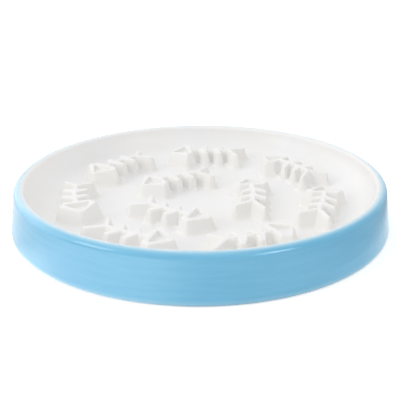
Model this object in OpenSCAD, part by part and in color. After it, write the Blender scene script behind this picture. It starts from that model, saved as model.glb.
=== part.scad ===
// Slow feeder bowl: a shallow glazed stoneware dish with raised fishbones.
// Millimetres, +Z up, origin at the centre of the foot, on the table.
// The fishbones stand in two rings on a dished floor. Each one has an arrow-shaped
// head with a hollow in its top, swept ribs on a bent spine and a forked tail.

/* [Dish] */
// Outer diameter at the foot
bowl_d = 250; // [240:1:280]
// Height of the rim's crest above the table
bowl_h = 29.3; // [27:0.1:36]
// How far the crest stands in from the foot
wall_lean = 7.7; // [6:0.1:10]
// Radius of the outer shoulder under the crest
shoulder_r = 4.5; // [3:0.1:6]
// Radius of the inner lip under the crest
lip_r = 2.5; // [1.5:0.1:3.5]
// Radius of the rounded toe at the table
toe_r = 2; // [1:0.1:3]

/* [Floor] */
// Height of the floor's centre above the table
floor_h = 6.2; // [5.5:0.1:8]
// How much higher the floor is at the outer ring of fishbones
floor_rise = 3.1; // [1:0.1:4]
// Radius of the cove between floor and wall
cove_r = 20; // [14:0.5:24]

/* [Underside] */
// Thickness of the fired body under the floor
floor_t = 5; // [3:0.1:5.2]
// Thickness of the skirt and of the body behind the cove
wall_t = 6; // [4:0.1:8]
// Height of the hollow inside the skirt
hollow_h = 12; // [8:0.5:14]
// Chamfer along the inner edge of the foot
foot_chamfer = 1; // [0.2:0.1:2]

/* [Outer glaze] */
// Thickness of the coloured coat
glaze_t = 0.5; // [0.3:0.05:0.8]
// Bare band between the coat and the table
glaze_gap = 0.8; // [0.5:0.1:2]

/* [Rings] */
// Distance from the rim's crest in to the middle of the outer ring of fishbones
ring_inset = 34; // [32:0.1:38]
// Radius of the inner ring, as a share of the outer ring's
inner_ring_share = 0.438; // [0.42:0.002:0.45]
// Angle of the first fishbone of the outer ring
outer_turn = 85.5; // [0:0.5:360]
// Angle of the first fishbone of the inner ring
inner_turn = 117.5; // [0:0.5:360]
// How far the outer fishbones turn their heads towards the centre, in degrees
outer_lead = 2; // [0:0.1:5]
// The same for the inner fishbones
inner_lead = 0.4; // [0:0.1:5]
// Height of the outer fishbones above the floor at the middle of their ring
outer_relief_h = 11; // [8:0.1:12]
// The same for the inner fishbones
inner_relief_h = 10.6; // [8:0.1:12]

/* [Fishbone] */
// Radius of the arc that the spine follows
bend_r = 96; // [80:1:400]
// Half width of the spine's ridge
spine_w = 1.6; // [1:0.1:2.5]
// How much lower the top lies at a rib's end than on the spine
top_drop = 0.8; // [0:0.1:1.5]
// Radius of all corners at the top
corner_r = 0.9; // [0.5:0.05:1]
// Distance between neighbouring ribs
rib_pitch = 11.3; // [10:0.1:12]
// How far a rib's end lies behind its root
rib_sweep = 4.9; // [3:0.1:7]
// Half width across the ribs
rib_reach = 8.5; // [7:0.1:10]
// Width of a rib at the spine
rib_root_w = 6.2; // [4:0.1:7.5]
// Width of a rib at its end
rib_tip_w = 3.8; // [2.2:0.1:5]
// Slope of the ribs' sides, in degrees from upright
rib_draft = 14; // [8:0.2:20]

/* [Head] */
// Distance from the ring's radius line to the front of the nose
nose_x = 28.9; // [26:0.1:30]
// Half width of the blunt nose
nose_w = 1.2; // [1:0.1:4]
// How much lower the head's top lies at the nose than at the nape
nose_drop = 1.4; // [0:0.1:2]
// Distance from the ring's radius line to the gill corners
gill_x = 18; // [16:0.1:19]
// Half width of the head at the gill corners
head_reach = 12.5; // [10:0.1:13]
// Distance from the gill corners back to the nape
nape_l = 5.2; // [4:0.1:6]
// Half width of the straight nape
nape_w = 8.5; // [7:0.1:9.5]
// Gap between the nape and the first rib, along the spine
nape_gap = 4.4; // [2:0.1:6]
// Slope of the head's sides, in degrees from upright
head_draft = 19.2; // [10:0.2:24]
// Depth of the hollow in the head's top
pocket_d = 3.4; // [0.5:0.1:4.5]
// Thickness of the edge between that hollow and the nape
pocket_back = 3.3; // [2.5:0.1:4.5]
// Thickness of the edge between the hollow and the head's sides
pocket_edge = 2; // [1.5:0.1:3]
// Radius of the corners of the hollow's floor
pocket_r = 0.4; // [0.3:0.05:0.8]

/* [Tail] */
// Half width of the tail
tail_reach = 10.1; // [8:0.1:11]
// How far the tail's outer corners lie behind its root
tail_sweep = 9.4; // [5:0.1:10]
// Length of the outer edge of each tail lobe
lobe_l = 3.9; // [3:0.1:7]
// Depth of the fork
fork_l = 9.3; // [5:0.1:10]
// Slope of the tail's sides, in degrees from upright
tail_draft = 17.6; // [10:0.2:24]

/* [Hidden] */

// Numbers of fishbones in the two rings, and of free ribs on each
outer_count = 7;
inner_count = 3;
rib_count = 2;
// How far a cutting shape runs past what it cuts
overrun = 1;
// Sides of the revolved surfaces, of the section's small arcs and of its large ones
round_sides = 180;
arc_sides = 96;
large_arc_sides = 1440;
// Sides of a fishbone's rounded corners, and of the surface that fits its foot
corner_sides = 12;
seat_sides = 90;
seat_arc_sides = 720;
// Height and width of the bevel on a fishbone's upper edges, of the corner radius
bevel_h_share = 0.6;
bevel_w_share = 0.55;

foot_r = bowl_d / 2;
crest_r = foot_r - wall_lean;
outer_ring_r = crest_r - ring_inset;
inner_ring_r = inner_ring_share * outer_ring_r;
nape_x = gill_x - nape_l;
pocket_x = nape_x + pocket_back;
first_rib_x = nape_x - nape_gap;
toe_c = [foot_r - toe_r, toe_r];
shoulder_c = [crest_r, bowl_h - shoulder_r];
lip_c = [crest_r, bowl_h - lip_r];
// The floor is a shallow cap of a sphere
floor_r = (outer_ring_r ^ 2 + floor_rise ^ 2) / (2 * floor_rise);
floor_c = [0, floor_h + floor_r];
// The cove touches the floor and the lip
cove_c = meeting(lip_c, lip_r + cove_r, floor_c, floor_r - cove_r);
floor_touch = floor_c + (cove_c - floor_c) * floor_r / (floor_r - cove_r);
lip_touch = lip_c + (cove_c - lip_c) * lip_r / (lip_r + cove_r);
// Outward direction of the leaning wall
wall_n = tangent_normal(toe_c, toe_r, shoulder_c, shoulder_r);

function unit(p) = p / norm(p);
function dot2(a, b) = a[0] * b[0] + a[1] * b[1];

// Outward normal of the line that touches two circles on their right
function tangent_normal(a, ra, b, rb) =
    let (
        d = b - a,
        turn = atan2(d[1], d[0]) - acos((ra - rb) / norm(d))
    )
    [cos(turn), sin(turn)];

// Left meeting point of two circles, seen from the first centre to the second
function meeting(a, ra, b, rb) =
    let (
        d = b - a,
        along = (dot2(d, d) + ra ^ 2 - rb ^ 2) / (2 * norm(d)),
        aside = sqrt(ra ^ 2 - along ^ 2),
        e = unit(d)
    )
    a + along * e + aside * [-e[1], e[0]];

// Height of the floor at a distance from the centre
function floor_z(r) = floor_c[1] - sqrt(floor_r ^ 2 - r ^ 2);

// Right-hand normal of the edge from a to b
function edge_n(a, b) = unit([b[1] - a[1], a[0] - b[0]]);

// Outline with each edge moved outwards by d and its corners kept sharp
function moved(outline, d) = [
    for (i = [0 : len(outline) - 1])
        let (
            n = corner_normals(outline, i)
        )
        outline[i] + d * (n[0] + n[1]) / (1 + dot2(n[0], n[1]))
];

// Normals of the two edges that meet at corner i of an outline
function corner_normals(outline, i) =
    let (
        count = len(outline),
        before = outline[(i + count - 1) % count],
        after = outline[(i + 1) % count]
    )
    [edge_n(before, outline[i]), edge_n(outline[i], after)];

// How far a fishbone's top lies under the height of its spine
function fall(p) =
    p[0] > nape_x
        ? nose_drop * (p[0] - nape_x) / (nose_x - nape_x)
        : top_drop * abs(p[1]) / rib_reach;

// Point of a straight fishbone, carried onto the arc that its spine follows
function bent(p) =
    let (turn = p[0] / bend_r * 180 / PI)
    [(bend_r - p[1]) * sin(turn), bend_r - (bend_r - p[1]) * cos(turn)];

// Half outline and its mirror image, counter-clockwise from the fish's front
function both_sides(half) = [
    each half,
    for (i = [len(half) - 1 : -1 : 0]) if (half[i][1] > 0) [half[i][0], -half[i][1]]
];

// Outlines, along the spine in X and across it in Y
function head_outline() = both_sides([
    [nose_x, nose_w],
    [gill_x, head_reach],
    [nape_x, nape_w],
    [nape_x, 0]
]);
function pocket_outline() =
    let (
        head_w = nape_w + (head_reach - nape_w) * pocket_back / nape_l,
        side = unit([nose_x - gill_x, head_reach - nose_w]),
        tip_x = nose_x - pocket_edge * side[1]
    )
    both_sides([[tip_x, nose_w / 2], [pocket_x, head_w - pocket_edge], [pocket_x, 0]]);
function rib_outline(root) = both_sides([
    [root, 0],
    [root - rib_sweep, rib_reach],
    [root - rib_sweep - rib_tip_w, rib_reach],
    [root - rib_root_w, 0]
]);
function tail_outline(root) = both_sides([
    [root, 0],
    [root - tail_sweep, tail_reach],
    [root - tail_sweep - lobe_l, tail_reach],
    [root - tail_sweep - lobe_l + fork_l, 0]
]);

// Post at a corner of a fishbone: it spreads downwards by the draft, with a bevelled top
module post(p, foot, top, r, draft) {
    bevel_h = bevel_h_share * r;
    translate([each bent(p), foot])
        cylinder(
            h = top - bevel_h - foot,
            r1 = r + (top - bevel_h - foot) * tan(draft),
            r2 = r,
            $fn = corner_sides
        );
    translate([each bent(p), top - bevel_h])
        cylinder(h = bevel_h, r1 = r, r2 = r - bevel_w_share * r, $fn = corner_sides);
}

// Two mirrored halves of a fishbone's part, each spanned between the posts at its corners
module swept_part(outline, foot, top, shared_w, draft) {
    core = moved(outline, -corner_r);
    for (side = [1, -1])
        hull()
            for (p = core)
                if (side * p[1] > -shared_w)
                    post(p, foot, top - fall(p), corner_r, draft);
}

// Hollow in the head's top, with sides that slope like the ribs' own
module head_pocket(top) {
    slope = tan(rib_draft);
    hull()
        for (p = moved(pocket_outline(), -pocket_r - pocket_d * slope))
            translate([each bent(p), top - pocket_d])
                cylinder(
                    h = pocket_d + overrun,
                    r1 = pocket_r,
                    r2 = pocket_r + (pocket_d + overrun) * slope,
                    $fn = corner_sides
                );
}

// Half section of the dish's outside, with its surface moved inwards
module outside_section(inset) {
    translate(toe_c) circle(r = toe_r - inset, $fn = arc_sides);
    translate(shoulder_c) circle(r = shoulder_r - inset, $fn = arc_sides);
    polygon([
        [0, inset],
        [toe_c[0], inset],
        toe_c + (toe_r - inset) * wall_n,
        shoulder_c + (shoulder_r - inset) * wall_n,
        [crest_r, bowl_h - inset],
        [0, bowl_h - inset]
    ]);
}

// Half section of the space above the floor, inside cove and lip
module cavity_section(large_sides = large_arc_sides) {
    intersection() {
        translate(floor_c) circle(r = floor_r, $fn = large_sides);
        square([floor_touch[0], bowl_h + overrun]);
    }
    intersection() {
        translate(cove_c) circle(r = cove_r, $fn = arc_sides);
        translate([floor_touch[0], 0]) square([crest_r - floor_touch[0], lip_touch[1]]);
    }
    difference() {
        translate([floor_touch[0], lip_touch[1]])
            square([crest_r - floor_touch[0], bowl_h + overrun - lip_touch[1]]);
        translate(lip_c) circle(r = lip_r, $fn = arc_sides);
    }
}

// Half section of the hollow under the floor, inside the skirt
module hollow_section() {
    foot_in = toe_c + (toe_r - wall_t) * wall_n;
    skirt_step = [-wall_n[1], wall_n[0]] / wall_n[0];
    difference() {
        polygon([
            [0, -overrun],
            foot_in + (-overrun - foot_in[1]) * skirt_step + [foot_chamfer + overrun, 0],
            foot_in + (foot_chamfer - foot_in[1]) * skirt_step,
            foot_in + (hollow_h - foot_in[1]) * skirt_step,
            [0, hollow_h]
        ]);
        translate(floor_c) circle(r = floor_r + floor_t, $fn = large_arc_sides);
        translate(cove_c) circle(r = cove_r + wall_t, $fn = arc_sides);
    }
}

// Half section of the coloured coat, from above the toe to the crest
module coat_section() {
    intersection() {
        difference() {
            outside_section(0);
            outside_section(glaze_t);
        }
        translate([crest_r, glaze_gap]) square([wall_lean, bowl_h - glaze_gap]);
    }
}

// Fired stoneware dish: outer wall, rim, cove, dished floor and hollow foot
module bowl_body() {
    color("whitesmoke")
        rotate_extrude($fn = round_sides)
            difference() {
                intersection() {
                    outside_section(0);
                    square([foot_r, bowl_h]);
                }
                coat_section();
                cavity_section();
                hollow_section();
            }
}

// Sky-blue coat on the outer wall
module outer_glaze() {
    color("skyblue")
        rotate_extrude($fn = round_sides)
            coat_section();
}

// One fishbone with its top at a height above the table, before its foot is fitted
module fishbone_blank(top) {
    foot = floor_h - overrun;
    roots = [for (i = [0 : rib_count]) first_rib_x - i * rib_pitch];
    spine = [pocket_x, each roots];
    difference() {
        swept_part(head_outline(), foot, top, nose_w, head_draft);
        head_pocket(top);
    }
    for (i = [0 : rib_count - 1])
        swept_part(rib_outline(roots[i]), foot, top, spine_w, rib_draft);
    swept_part(tail_outline(roots[rib_count]), foot, top, spine_w, tail_draft);
    for (i = [0 : rib_count])
        hull()
            for (x = [spine[i], spine[i + 1]])
                post([x - spine_w, 0], foot, top, spine_w, rib_draft);
}

// Fishbone number index, standing on the floor with its head leading anticlockwise
module fishbone(index) {
    is_outer = index <= outer_count;
    ring_r = is_outer ? outer_ring_r : inner_ring_r;
    lead = is_outer ? outer_lead : inner_lead;
    top = floor_z(ring_r) + (is_outer ? outer_relief_h : inner_relief_h);
    turn = is_outer
        ? outer_turn + (index - 1) * 360 / outer_count
        : inner_turn + (index - outer_count - 1) * 360 / inner_count;
    color("white")
        intersection() {
            rotate(turn)
                translate([ring_r, 0, 0])
                    rotate(90 + lead)
                        fishbone_blank(top);
            rotate_extrude($fn = seat_sides) cavity_section(seat_arc_sides);
        }
}

bowl_body();
outer_glaze();
fishbone(1);  // fishbone_01
fishbone(2);  // fishbone_02
fishbone(3);  // fishbone_03
fishbone(4);  // fishbone_04
fishbone(5);  // fishbone_05
fishbone(6);  // fishbone_06
fishbone(7);  // fishbone_07
fishbone(8);  // fishbone_08
fishbone(9);  // fishbone_09
fishbone(10);  // fishbone_10
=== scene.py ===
"""Looks of a glazed slow feeder bowl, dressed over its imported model. Metres, +Z up."""

import math

import bmesh
import bpy
import numpy as np
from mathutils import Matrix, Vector
from mathutils.bvhtree import BVHTree

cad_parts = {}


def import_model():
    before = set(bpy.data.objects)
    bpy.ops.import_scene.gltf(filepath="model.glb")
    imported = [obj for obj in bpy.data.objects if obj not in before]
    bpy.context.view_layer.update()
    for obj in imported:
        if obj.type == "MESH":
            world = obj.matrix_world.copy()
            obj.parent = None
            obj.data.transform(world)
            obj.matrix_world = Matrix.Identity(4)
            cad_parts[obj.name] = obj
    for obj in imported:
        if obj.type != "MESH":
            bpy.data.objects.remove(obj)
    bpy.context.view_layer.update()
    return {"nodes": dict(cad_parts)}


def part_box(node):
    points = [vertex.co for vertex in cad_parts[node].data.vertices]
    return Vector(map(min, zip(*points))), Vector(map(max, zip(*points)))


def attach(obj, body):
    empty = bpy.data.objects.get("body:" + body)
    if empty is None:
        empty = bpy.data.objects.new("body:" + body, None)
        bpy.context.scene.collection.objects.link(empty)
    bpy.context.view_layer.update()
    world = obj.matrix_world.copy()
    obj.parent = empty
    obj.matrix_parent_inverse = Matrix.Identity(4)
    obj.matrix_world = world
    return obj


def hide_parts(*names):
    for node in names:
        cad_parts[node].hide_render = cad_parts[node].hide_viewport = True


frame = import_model()


def way_to(azimuth, elevation=0):
    """Unit vector towards a direction in degrees: round from +X, and up from the table."""
    a, e = math.radians(azimuth), math.radians(elevation)
    return Vector((math.cos(a) * math.cos(e), math.sin(a) * math.cos(e), math.sin(e)))


MM = 0.001

# How far the rim's crest stands in from the foot, and the crest's radius
WALL_LEAN = 7.7 * MM
CREST_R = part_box("outer_glaze")[1].x - WALL_LEAN

# The photograph's camera: place, aim, roll, lens and sensor width in millimetres, and the
# least distance that it sees
CAMERA_AT = Vector((0.0, -0.441, 0.1868))
CAMERA_AIM = Vector((-0.0001, 0.0, 0.0103))
CAMERA_ROLL = math.radians(-0.36)
LENS = 63
SENSOR = 36
CLIP_START = 0.01

# Glazes and bare clay, as linear colours
WHITE = (0.866, 0.861, 0.865, 1.0)
# The warm white is the glaze's own tone in its clouds and at the bare foot, and also the painted
# shade on the relief's steep faces
WARM_WHITE = (0.853, 0.841, 0.804, 1.0)
BLUE = (0.158, 0.508, 0.745, 1.0)
DEEP_BLUE = (0.132, 0.460, 0.705, 1.0)
PALE_BLUE = (0.42, 0.68, 0.82, 1.0)
BARE_CLAY = (0.80, 0.76, 0.70, 1.0)

# Least and greatest roughness of each glaze, weight of the clear coat over it, and what
# bare clay adds to the roughness
WHITE_GLOSS = (0.46, 0.56)
WHITE_COAT = 0.15
BLUE_GLOSS = (0.36, 0.42)
BLUE_COAT = 0.8
COAT_ROUGHNESS = 0.06
GLAZE_IOR = 1.5
BARE_ROUGHNESS = 0.5

# Noises: patches per metre, detail, and roughness where it isn't a half
WAVE_NOISE = (55.0, 1.0)
PEEL_NOISE = (420.0, 1.5)
RIM_NOISE = (160.0, 2.0)
WHITE_CLOUD_NOISE = (24.0, 3.0)
BLUE_CLOUD_NOISE = (18.0, 4.0, 0.55)
BAND_NOISE = (420.0, 2.0)
SPECK_NOISE = (700.0, 2.0)
CLAY_NOISE = (900.0, 2.0)
WHITE_GLOSS_NOISE = (90.0, 2.0)
BLUE_GLOSS_NOISE = (80.0, 2.0)
# Ranges of their values: most of them, those of the white clouds, and only the specks
NOISE_RANGE = (0.3, 0.7)
CLOUD_RANGE = (0.3, 0.75)
SPECK_RANGE = (0.62, 0.72)

# Strength and depth of the glazes' slow waves from the throw, and of their orange peel
WAVES = (0.35, 0.25 * MM)
PEEL = (0.25, 0.04 * MM)

# White glaze: how warm its clouds are at most, and how far the steep faces of the relief take on
# painted shade, a warmer and darker white
CLOUD_WARMTH = 0.5
RELIEF_SHADE_WARMTH = 0.5
# A surface turns from level to steep as the upward part of its normal falls
STEEP_RANGE = (0.98, 0.80)
# The foot turns bare between these heights
BARE_RANGE = (0.5 * MM, 0.2 * MM)

# Blue glaze: how its level bands are stretched, and the shares of bands, clouds and specks
BAND_STRETCH = (0.08, 0.08, 1.0)
BAND_SHARE = 0.6
CLOUD_SHARE = 0.4
SPECK_SHARE = 0.05
# It pales between these heights towards the table, and between these radii towards the rim
TOE_RANGE = (4.2 * MM, 1.0 * MM)
TOE_SHARE = 0.5
THIN_RANGE = (CREST_R + 3.6 * MM, CREST_R + 0.6 * MM)
# It takes over from white between these radii, which wander by this much
RIM_RANGE = (CREST_R - 1.6 * MM, CREST_R + 1.8 * MM)
RIM_WANDER = 1.6 * MM

# Light of the room near the horizon and overhead
HORIZON = (0.66, 0.652, 0.632, 1.0)
ZENITH = (1.12, 1.13, 1.155, 1.0)
# The room is brighter at the back left than at the front right
BRIGHT_WAY = way_to(150)
BRIGHT_SIDE = 1.10
DARK_SIDE = 0.85
# A low light from the right. A light comes in between the two cosines of its spread, of
# the angle from its way seen from above, and the two sines of elevation of its reach
LOW_WAY = way_to(350)
LOW_SPREAD = (0.3, 0.9)
LOW_REACH = (0.32, 0.1)
LOW_LIGHT = 1.7
# In reflections the room glows at the back left
GLOW_WAY = way_to(155)
GLOW_SPREAD = (0.7, 0.95)
GLOW_REACH = (0.7, 0.4)
GLOW = 1.2
# In reflections the table shines at the front left
SHINE_WAY = way_to(236)
SHINE_SPREAD = (0.8, 0.99)
SHINE = 1.3
# In reflections the room is dim at the right, and so is the table away from the bowl
DIM_WAY = way_to(0)
DIM_SPREAD = (0.5, 0.95)
DIM_SHARE = 0.6
DIM_RADII = (0.128, 0.158)
# A small bright lamp at the right front shows only in reflections, between these cosines
STREAK_WAY = way_to(316, 30)
STREAK_SPREAD = (math.cos(math.radians(11)), math.cos(math.radians(8)))
STREAK = 5.5
# The lamp at the left, which lights the bowl: its width and height, and power in watts
LAMP_WAY = way_to(206, 28)
LAMP_DISTANCE = 1.5
LAMP_SIZE = (0.55, 0.6)
LAMP_POWER = 3.45
LAMP_COLOR = (1.0, 0.995, 0.98)

# The table: half its side, its colour, and the light that makes it white where it is seen
TABLE_HALF = 3.0
TABLE_COLOR = (0.75, 0.75, 0.75, 1.0)
TABLE_WHITENING = 0.45
PURE_WHITE = (1.0, 1.0, 1.0, 1.0)

# Grid step of the fishbones' glazed skins
GRAIN = 0.28 * MM
# Radius of their upper edges, of the grooves between their parts and of the cove round
# their feet, and how high that cove reaches
EDGE_R = 0.6 * MM
GROOVE_R = 1.0 * MM
COVE_R = 2.6 * MM
COVE_H = 1.9 * MM
# Least height that counts as relief
LEAST_RELIEF = 0.05 * MM
# Skirt of glaze round a fishbone: the relief's blurred outline, down to the share where it
# ends. It stands this far over the dish's own mesh, and its border dips this far under it
SKIRT_W = 6.0 * MM
SKIRT_BLUR = 1.8 * MM
SKIRT_END = 0.04
SKIRT_LIFT = 0.07 * MM
SKIRT_DIP = 0.05 * MM
# How far a skin's bottom lies under its border, and how far a skin stays inside the crest
BOTTOM_DEPTH = 0.5 * MM
SKIN_INSET = 8 * MM
# Height from which rays look down for a fishbone
RAY_START = 0.1
# The dish's profile: how far inside the crest it ends, the least upward part of its
# normals, and what counts as no distance
PROFILE_INSET = 3 * MM
LEAST_UP = 0.05
NO_DISTANCE = 1e-6


def add_node(tree, kind, inputs=None, **settings):
    """A new node, with its settings and with its inputs set to values or linked to sockets."""
    node = tree.nodes.new(kind)
    for name, value in settings.items():
        setattr(node, name, value)
    for name, value in (inputs or {}).items():
        if isinstance(value, bpy.types.NodeSocket):
            tree.links.new(value, node.inputs[name])
        else:
            node.inputs[name].default_value = value
    return node


def math_node(tree, operation, *values):
    """Output of a Math node over two or three values or sockets."""
    return add_node(tree, "ShaderNodeMath", dict(enumerate(values)), operation=operation).outputs[0]


def product(tree, first, second):
    """Product of two values or sockets."""
    return math_node(tree, "MULTIPLY", first, second)


def vector_node(tree, operation, *vectors):
    """Output of a Vector Math node: a number for a length or dot product, else a vector."""
    inputs = dict(enumerate(vectors))
    node = add_node(tree, "ShaderNodeVectorMath", inputs, operation=operation)
    return node.outputs["Value" if operation in ("LENGTH", "DOT_PRODUCT") else "Vector"]


def flattened(tree, place):
    """A place or direction without its height."""
    return vector_node(tree, "MULTIPLY", place, (1, 1, 0))


def height_of(tree, place):
    """Height of a place, or upward part of a direction."""
    return add_node(tree, "ShaderNodeSeparateXYZ", {0: place}).outputs["Z"]


def ramp(tree, value, start, end, low=0.0, high=1.0):
    """A smooth step of value from low at start to high at end."""
    inputs = {"Value": value, "From Min": start, "From Max": end, "To Min": low, "To Max": high}
    node = add_node(tree, "ShaderNodeMapRange", inputs, interpolation_type="SMOOTHSTEP")
    return node.outputs["Result"]


def mixed(tree, factor, first, second):
    """Colour between first and second."""
    inputs = {0: factor, 6: first, 7: second}
    return add_node(tree, "ShaderNodeMix", inputs, data_type="RGBA").outputs[2]


def noise(tree, place, scale, detail, roughness=0.5):
    """Factor of a noise whose patches are about 1 / scale metres wide."""
    inputs = {"Vector": place, "Scale": scale, "Detail": detail, "Roughness": roughness}
    return add_node(tree, "ShaderNodeTexNoise", inputs).outputs["Fac"]


def towards(tree, place, way, spread):
    """How far a place or direction lies towards a level way: 0 to 1 over a spread of cosines."""
    unit = vector_node(tree, "NORMALIZE", flattened(tree, place))
    return ramp(tree, vector_node(tree, "DOT_PRODUCT", unit, way), *spread)


def emptied_tree(owner):
    """The node tree of a new material or world, with no nodes."""
    owner.use_nodes = True
    owner.node_tree.nodes.clear()
    return owner.node_tree


def new_material(name):
    """A material with its empty tree, its coordinates, and the radius and height there."""
    material = bpy.data.materials.new(name)
    tree = emptied_tree(material)
    place = add_node(tree, "ShaderNodeTexCoord").outputs["Object"]
    radius = vector_node(tree, "LENGTH", flattened(tree, place))
    return material, tree, place, radius, height_of(tree, place)


def bump(tree, height, strength, distance, **normal):
    """Normal of a surface whose relief has some strength and depth, over another Normal."""
    inputs = {"Height": height, "Strength": strength, "Distance": distance, **normal}
    return add_node(tree, "ShaderNodeBump", inputs).outputs["Normal"]


def glaze_normal(tree, place):
    """Normal of a glaze surface: slow waves from the throw, and a fine orange peel."""
    slow = bump(tree, noise(tree, place, *WAVE_NOISE), *WAVES)
    return bump(tree, noise(tree, place, *PEEL_NOISE), *PEEL, Normal=slow)


def add_glaze_shader(tree, place, color, roughness, coat):
    """A glaze: its coloured body with a soft sheen, under a clear coat of some weight."""
    normal = glaze_normal(tree, place)
    inputs = {
        "Base Color": color,
        "Roughness": roughness,
        "IOR": GLAZE_IOR,
        "Normal": normal,
        "Coat Weight": coat,
        "Coat Roughness": COAT_ROUGHNESS,
        "Coat Normal": normal,
    }
    shader = add_node(tree, "ShaderNodeBsdfPrincipled", inputs)
    add_node(tree, "ShaderNodeOutputMaterial", {"Surface": shader.outputs["BSDF"]})


def rim_blue(tree, place, radius):
    """Share of blue across the rim: none on the lip, full on the shoulder, with a soft break."""
    breaks = noise(tree, place, *RIM_NOISE)
    wander = math_node(tree, "MULTIPLY_ADD", breaks, RIM_WANDER, -RIM_WANDER / 2)
    return ramp(tree, math_node(tree, "ADD", radius, wander), *RIM_RANGE)


def steep_shade(tree):
    """0 where a surface lies level, 1 where it is steep; this masks the painted shade on the
    relief's steep faces.
    """
    normal = add_node(tree, "ShaderNodeTexCoord").outputs["Normal"]
    return ramp(tree, height_of(tree, normal), *STEEP_RANGE)


def white_glaze(name, shade_warmth):
    """White glaze with warm clouds and with painted shade, a warmer and darker white on steep
    faces, with blue at the rim and a bare foot.
    """
    material, tree, place, radius, height = new_material(name)
    clouds = noise(tree, place, *WHITE_CLOUD_NOISE)
    clouds = ramp(tree, clouds, *CLOUD_RANGE, 0.0, CLOUD_WARMTH)
    # Painted shade: steep faces turn towards the warmer, darker white, on top of the clouds' own
    # warm tone
    warm = math_node(tree, "MULTIPLY_ADD", steep_shade(tree), shade_warmth, clouds)
    color = mixed(tree, warm, WHITE, WARM_WHITE)
    color = mixed(tree, rim_blue(tree, place, radius), color, PALE_BLUE)
    clay = mixed(tree, noise(tree, place, *CLAY_NOISE), BARE_CLAY, WARM_WHITE)
    bare = ramp(tree, height, *BARE_RANGE)
    color = mixed(tree, bare, color, clay)
    gloss = ramp(tree, noise(tree, place, *WHITE_GLOSS_NOISE), *NOISE_RANGE, *WHITE_GLOSS)
    roughness = math_node(tree, "ADD", gloss, ramp(tree, bare, 0.0, 1.0, 0.0, BARE_ROUGHNESS))
    add_glaze_shader(tree, place, color, roughness, WHITE_COAT)
    return material


def blue_glaze(name):
    """Sky-blue glaze: cloudy in level bands, paler where it thins over the rim, and paler towards
    the table at the toe.
    """
    material, tree, place, radius, height = new_material(name)
    clouds = product(tree, noise(tree, place, *BLUE_CLOUD_NOISE), CLOUD_SHARE)
    bands = noise(tree, vector_node(tree, "MULTIPLY", place, BAND_STRETCH), *BAND_NOISE)
    depth = math_node(tree, "MULTIPLY_ADD", bands, BAND_SHARE, clouds)
    color = mixed(tree, ramp(tree, depth, *NOISE_RANGE), BLUE, DEEP_BLUE)
    toe = ramp(tree, height, *TOE_RANGE, 0.0, TOE_SHARE)
    color = mixed(tree, toe, color, PALE_BLUE)
    specks = ramp(tree, noise(tree, place, *SPECK_NOISE), *SPECK_RANGE, 0.0, SPECK_SHARE)
    color = mixed(tree, specks, color, PALE_BLUE)
    color = mixed(tree, ramp(tree, radius, *THIN_RANGE), color, PALE_BLUE)
    color = mixed(tree, rim_blue(tree, place, radius), WHITE, color)
    gloss = ramp(tree, noise(tree, place, *BLUE_GLOSS_NOISE), *NOISE_RANGE, *BLUE_GLOSS)
    add_glaze_shader(tree, place, color, gloss, BLUE_COAT)
    return material


def dress(obj, material):
    """Gives a CAD node or a piece its one material."""
    obj.data.materials.clear()
    obj.data.materials.append(material)


def add_object(name, data):
    """A scene object of a mesh, a camera or a lamp."""
    obj = bpy.data.objects.new(name, data)
    bpy.context.scene.collection.objects.link(obj)
    return obj


def object_from(name, bm):
    """A scene object from a bmesh, which is used up."""
    mesh = bpy.data.meshes.new(name)
    bm.to_mesh(mesh)
    bm.free()
    return add_object(name, mesh)


def surface_of(node):
    """Search tree over a CAD node's surface."""
    points = [v.co.copy() for v in node.data.vertices]
    return BVHTree.FromPolygons(points, [tuple(p.vertices) for p in node.data.polygons])


def floor_profile(dish):
    """Radii, heights and slopes along the dish's inside, from its centre towards the lip."""
    points = {
        (round(v.co.x, 6), round(v.co.z, 6))
        for v in dish.data.vertices
        if abs(v.co.y) < NO_DISTANCE
        and 0 <= v.co.x < CREST_R - PROFILE_INSET
        and v.normal.z > LEAST_UP
    }
    radii, heights = np.array(sorted(points)).T
    return radii, heights, np.gradient(heights, radii)


def floor_height(profile, radius):
    """Height of the dish's inside at some radii: a smooth curve through the profile's points."""
    radii, heights, slopes = profile
    k = np.clip(np.searchsorted(radii, radius) - 1, 0, len(radii) - 2)
    step = radii[k + 1] - radii[k]
    t = (radius - radii[k]) / step
    rise = heights[k + 1] - heights[k]
    near, far = slopes[k] * step - rise, rise - slopes[k + 1] * step
    return heights[k] + t * rise + t * (1 - t) * ((1 - t) * near + t * far)


def dilated(height, radius):
    """A height field, in metres, rolled over from above by a ball."""
    reach = int(radius / GRAIN)
    result = height.copy()
    for i in range(-reach, reach + 1):
        for j in range(-reach, reach + 1):
            aside = (i * i + j * j) * GRAIN**2
            if aside < radius**2:
                fall = radius - math.sqrt(radius**2 - aside)
                np.maximum(result, np.roll(height, (i, j), (0, 1)) - fall, out=result)
    return result


def eroded(height, radius):
    """The same from below."""
    return -dilated(-height, radius)


def blurred(field, width):
    """A field smoothed by a bell curve."""
    reach = int(3 * width / GRAIN)
    bell = np.exp(-0.5 * (np.arange(-reach, reach + 1) * GRAIN / width) ** 2)
    bell /= bell.sum()
    for axis in (0, 1):
        field = np.apply_along_axis(np.convolve, axis, field, bell, "same")
    return field


def relief_heights(node, profile):
    """Grid of places round a fishbone, with the floor's height and the relief's over it."""
    low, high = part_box(node.name)
    xs = np.arange(low.x - SKIRT_W, high.x + SKIRT_W, GRAIN)
    ys = np.arange(low.y - SKIRT_W, high.y + SKIRT_W, GRAIN)
    x, y = np.meshgrid(xs, ys, indexing="ij")
    floor = floor_height(profile, np.hypot(x, y))
    height = np.zeros_like(x)
    surface = surface_of(node)
    down = Vector((0, 0, -1))
    for i, j in np.argwhere((x > low.x) & (x < high.x) & (y > low.y) & (y < high.y)):
        hit = surface.ray_cast(Vector((x[i, j], y[i, j], RAY_START)), down)[0]
        if hit:
            height[i, j] = max(hit.z - floor[i, j], 0)
    return x, y, floor, height


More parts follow.
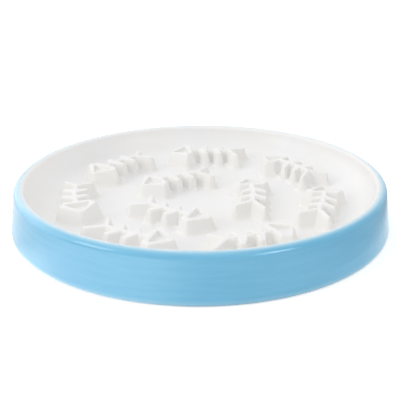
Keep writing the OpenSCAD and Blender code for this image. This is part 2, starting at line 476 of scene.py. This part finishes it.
def glazed(height):
    """The relief under its glaze: its edges rounded, its grooves and foot filled by coves."""
    height = dilated(eroded(height, EDGE_R), EDGE_R)
    groove = eroded(dilated(height, GROOVE_R), GROOVE_R)
    cove = eroded(dilated(height, COVE_R), COVE_R)
    return np.maximum(groove, np.minimum(cove, COVE_H))


def sheet(x, y, z, kept):
    """A smooth mesh through the kept places of a grid."""
    bm = bmesh.new()
    top = {}
    for i, j in np.argwhere(kept):
        top[i, j] = bm.verts.new((x[i, j], y[i, j], z[i, j]))
    for i, j in top:
        ring = [top.get(c) for c in ((i, j), (i + 1, j), (i + 1, j + 1), (i, j + 1))]
        if all(ring):
            bm.faces.new(ring)
    bmesh.ops.delete(bm, geom=[v for v in bm.verts if not v.link_faces], context="VERTS")
    for face in bm.faces:
        face.smooth = True
    return bm


def close_below(bm):
    """Closes a sheet by a wall down from its border and a bottom across that."""
    rim = [e for e in bm.edges if e.is_boundary]
    for part in bmesh.ops.extrude_edge_only(bm, edges=rim)["geom"]:
        if isinstance(part, bmesh.types.BMVert):
            part.co.z -= BOTTOM_DEPTH
    bottom = bmesh.ops.holes_fill(bm, edges=[e for e in bm.edges if e.is_boundary])["faces"]
    bmesh.ops.triangulate(bm, faces=bottom)
    bmesh.ops.recalc_face_normals(bm, faces=bm.faces)


def relief_skin(node, profile):
    """Glazed skin of a fishbone: a height field that runs out into the dish's floor."""
    x, y, floor, height = relief_heights(node, profile)
    height = glazed(height)
    skirt = blurred((height > LEAST_RELIEF).astype(float), SKIRT_BLUR)
    height += skirt * (SKIRT_LIFT + SKIRT_DIP) - SKIRT_DIP
    kept = (skirt > SKIRT_END) & (np.hypot(x, y) < CREST_R - SKIN_INSET)
    bm = sheet(x, y, floor + height, kept)
    close_below(bm)
    return object_from(node.name + "_skin", bm)


def fishbone_skins(material):
    """Glazed skins over the ten fishbones."""
    profile = floor_profile(frame["nodes"]["bowl_body"])
    for name in sorted(n for n in frame["nodes"] if n.startswith("fishbone")):
        skin = relief_skin(frame["nodes"][name], profile)
        dress(skin, material)
        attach(skin, "root")
        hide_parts(name)


def facing(way):
    """Rotation that makes a camera or lamp look along a way, with its top up."""
    return way.to_track_quat("-Z", "Y").to_euler()


def camera():
    """Camera at the photograph's place."""
    data = bpy.data.cameras.new("Camera")
    data.sensor_width = SENSOR
    data.lens = LENS
    data.clip_start = CLIP_START
    obj = add_object("Camera", data)
    obj.location = CAMERA_AT
    obj.rotation_euler = facing(CAMERA_AIM - CAMERA_AT)
    obj.rotation_euler.rotate_axis("Z", CAMERA_ROLL)
    bpy.context.scene.camera = obj


def lamp():
    """A large rectangular lamp at the left, which looks at the bowl."""
    data = bpy.data.lights.new("Left lamp", "AREA")
    data.shape = "RECTANGLE"
    data.size, data.size_y = LAMP_SIZE
    data.energy = LAMP_POWER
    data.color = LAMP_COLOR
    obj = add_object("Left lamp", data)
    obj.location = LAMP_WAY * LAMP_DISTANCE
    obj.rotation_euler = facing(-LAMP_WAY)


def seen_rays(tree):
    """1 for camera, glossy and transmitted rays, and 1 for glossy ones alone."""
    path = add_node(tree, "ShaderNodeLightPath")
    glossy = path.outputs["Is Glossy Ray"]
    seen = math_node(tree, "MAXIMUM", path.outputs["Is Camera Ray"], glossy)
    return math_node(tree, "MAXIMUM", seen, path.outputs["Is Transmission Ray"]), glossy


def dimness(tree, place, glossy):
    """How much of what glossy rays see is taken away, at the right side of the room."""
    side = towards(tree, place, DIM_WAY, DIM_SPREAD)
    return product(tree, product(tree, side, glossy), DIM_SHARE)


def room_light(tree, way, height):
    """The room as a light: brightest overhead, at the back left, and low at the right."""
    sky = mixed(tree, ramp(tree, height, 0.0, 1.0), HORIZON, ZENITH)
    side = vector_node(tree, "DOT_PRODUCT", way, BRIGHT_WAY)
    side = ramp(tree, side, -1.0, 1.0, DARK_SIDE, BRIGHT_SIDE)
    low = product(tree, towards(tree, way, LOW_WAY, LOW_SPREAD), ramp(tree, height, *LOW_REACH))
    strength = math_node(tree, "MULTIPLY_ADD", low, LOW_LIGHT, side)
    return add_node(tree, "ShaderNodeBackground", {"Color": sky, "Strength": strength})


def room_seen(tree, way, height, glossy):
    """The room as it is seen: white, but with a glow, a lamp and a dim side in reflections."""
    glow = product(tree, towards(tree, way, GLOW_WAY, GLOW_SPREAD), ramp(tree, height, *GLOW_REACH))
    streak = vector_node(tree, "DOT_PRODUCT", way, STREAK_WAY)
    streak = ramp(tree, streak, *STREAK_SPREAD, 0.0, STREAK)
    added = product(tree, math_node(tree, "MULTIPLY_ADD", glow, GLOW, streak), glossy)
    left_over = math_node(tree, "SUBTRACT", 1.0, dimness(tree, way, glossy))
    strength = math_node(tree, "ADD", added, left_over)
    return add_node(tree, "ShaderNodeBackground", {"Color": PURE_WHITE, "Strength": strength})


def world():
    """A white room round the bowl."""
    room = bpy.data.worlds.new("Room")
    bpy.context.scene.world = room
    tree = emptied_tree(room)
    seen, glossy = seen_rays(tree)
    way = add_node(tree, "ShaderNodeTexCoord").outputs["Generated"]
    height = height_of(tree, way)
    light = room_light(tree, way, height).outputs[0]
    white = room_seen(tree, way, height, glossy).outputs[0]
    surface = add_node(tree, "ShaderNodeMixShader", {0: seen, 1: light, 2: white}).outputs[0]
    add_node(tree, "ShaderNodeOutputWorld", {"Surface": surface})


def table_top(name):
    """A pale matt table: white where it is seen, shining and dim in reflections."""
    material = bpy.data.materials.new(name)
    tree = emptied_tree(material)
    seen, glossy = seen_rays(tree)
    place = add_node(tree, "ShaderNodeTexCoord").outputs["Object"]
    away = vector_node(tree, "LENGTH", place)
    matt = add_node(tree, "ShaderNodeBsdfDiffuse", {"Color": TABLE_COLOR}).outputs[0]
    shine = product(tree, towards(tree, place, SHINE_WAY, SHINE_SPREAD), glossy)
    strength = math_node(tree, "MULTIPLY_ADD", shine, SHINE, product(tree, seen, TABLE_WHITENING))
    glow = add_node(tree, "ShaderNodeEmission", {"Strength": strength}).outputs[0]
    bright = add_node(tree, "ShaderNodeAddShader", {0: matt, 1: glow}).outputs[0]
    black = add_node(tree, "ShaderNodeEmission", {"Strength": 0.0}).outputs[0]
    dim = product(tree, dimness(tree, place, glossy), ramp(tree, away, *DIM_RADII))
    surface = add_node(tree, "ShaderNodeMixShader", {0: dim, 1: bright, 2: black}).outputs[0]
    add_node(tree, "ShaderNodeOutputMaterial", {"Surface": surface})
    return material


def studio_floor():
    """The table top under the bowl, which keeps the bowl's shadow."""
    bm = bmesh.new()
    bmesh.ops.create_grid(bm, x_segments=1, y_segments=1, size=TABLE_HALF)
    floor = object_from("studio_floor", bm)
    dress(floor, table_top("studio_floor"))


camera()
world()
lamp()
studio_floor()
dress(frame["nodes"]["bowl_body"], white_glaze("white_glaze_floor", 0.0))
dress(frame["nodes"]["outer_glaze"], blue_glaze("blue_glaze_wall"))
fishbone_skins(white_glaze("white_glaze_relief", RELIEF_SHADE_WARMTH))

view = bpy.context.scene.view_settings
view.view_transform = "Standard"
